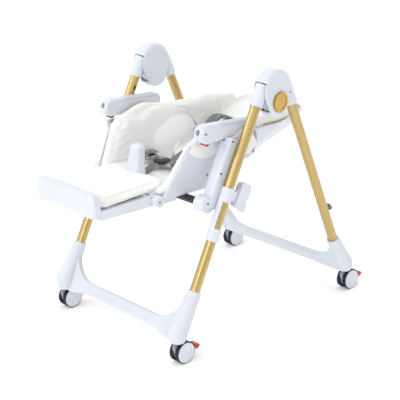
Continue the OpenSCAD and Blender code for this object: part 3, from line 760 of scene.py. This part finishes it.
def screw(name, node, place, body):
    """A screw hole on the nearest face of a CAD node, drawn as a flat near-black disc: painted shade standing
    in for the recess.
    """
    tree = BVHTree.FromObject(frame["nodes"][node], bpy.context.evaluated_depsgraph_get())
    at, out, _, _ = tree.find_nearest(Vector(place))
    out = out.normalized()
    ends = [tuple(at + out * t * MM) for t in (-0.6, -0.2, 0.2, 0.5)]
    made = tube(name, ends, 3.0 * MM, SCREW_HOLE_SHADE, 18)
    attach(made, body)


for name, side in SIDES.items():
    for i, (node, x, y, z, body) in enumerate(SCREWS):
        screw(f"screw_{name}_{i}", node.format(name), chair(side * x, y, z), body.format(name))


# ---------- Floor, light and camera ----------

CAMERA_AZIMUTH = math.radians(47.4)
CAMERA_ELEVATION = math.radians(19.85)
CAMERA_ROLL = math.radians(-1.1)
CAMERA_FROM_HUB = Vector((2.3184, -2.1800, 0.7937))
FOCAL_LENGTH = 100.88


def backdrop():
    """A pale floor that curves up into a wall behind the chair, as seen from the camera."""
    n = Nodes("studio white")
    material = n.set(Base_Color=n.blend(n.noise(0.8, 2), (0.93, 0.93, 0.93), (0.94, 0.94, 0.94)),
                     Roughness=0.9, Specular_IOR_Level=0.1,
                     Emission_Color=(1, 1, 1, 1), Emission_Strength=0.17)
    across, depth, bend = 14.0, 4.2, 1.6
    profile = [(-9.0, 0.0)]
    profile += [(depth + bend * math.sin(math.radians(a)), bend * (1 - math.cos(math.radians(a))))
                for a in range(0, 91, 6)]
    profile += [(depth + bend, 7.0)]
    points = [(x, y, z) for y, z in profile for x in (-across, across)]
    floor = new_mesh("backdrop", points, sheet_faces(len(profile), 2), material)
    floor.matrix_world = Matrix.Rotation(CAMERA_AZIMUTH, 4, "Z")


def softbox(name, place, size, power):
    """A square area lamp that looks at the seat."""
    lamp = bpy.data.lights.new(name, "AREA")
    lamp.energy = power
    lamp.size = size
    obj = bpy.data.objects.new(name, lamp)
    bpy.context.collection.objects.link(obj)
    obj.location = place
    obj.rotation_euler = (Vector((0, 0, 0.4)) - Vector(place)).to_track_quat("-Z", "Y").to_euler()


def camera():
    """The photo's camera, placed from the hubs."""
    right = Vector((math.cos(CAMERA_AZIMUTH), math.sin(CAMERA_AZIMUTH), 0))
    ahead = Vector((-math.sin(CAMERA_AZIMUTH) * math.cos(CAMERA_ELEVATION),
                    math.cos(CAMERA_AZIMUTH) * math.cos(CAMERA_ELEVATION), -math.sin(CAMERA_ELEVATION)))
    up = right.cross(ahead)
    level = Matrix((right, up, -ahead)).transposed()
    obj = bpy.data.objects.new("camera", bpy.data.cameras.new("camera"))
    bpy.context.collection.objects.link(obj)
    obj.data.sensor_width = 36
    obj.data.lens = FOCAL_LENGTH
    obj.data.clip_start = 0.05
    obj.matrix_world = (Matrix.Translation(HUB + CAMERA_FROM_HUB)
                        @ level.to_4x4() @ Matrix.Rotation(CAMERA_ROLL, 4, "Z"))
    bpy.context.scene.camera = obj


def lighting():
    """Soft white studio light: paler towards the front left, darker behind and to the right."""
    world = bpy.data.worlds.new("studio")
    world.use_nodes = True
    nodes, links = world.node_tree.nodes, world.node_tree.links
    facing = nodes.new("ShaderNodeVectorMath")
    facing.operation = "DOT_PRODUCT"
    facing.inputs[1].default_value = Vector((0.15, -0.85, 0.5)).normalized()
    ramp = nodes.new("ShaderNodeMapRange")
    ramp.interpolation_type = "SMOOTHSTEP"
    ramp.inputs["From Min"].default_value = -0.5
    ramp.inputs["To Min"].default_value = 0.55
    ramp.inputs["To Max"].default_value = 0.98
    links.new(nodes.new("ShaderNodeTexCoord").outputs["Generated"], facing.inputs[0])
    links.new(facing.outputs["Value"], ramp.inputs["Value"])
    links.new(ramp.outputs["Result"], nodes["Background"].inputs["Strength"])
    nodes["Background"].inputs["Color"].default_value = (0.96, 0.97, 1.0, 1)
    bpy.context.scene.world = world
    softbox("key", (-1.6, -3.2, 3.0), 2.4, 38)
    softbox("strip", (1.3, -3.4, 1.7), 1.0, 13)
    softbox("fill", (3.6, -0.6, 2.2), 2.0, 10)
    softbox("top", (0.2, 0.6, 4.2), 3.2, 33)
    bpy.context.scene.view_settings.view_transform = "Standard"


camera()
backdrop()
lighting()
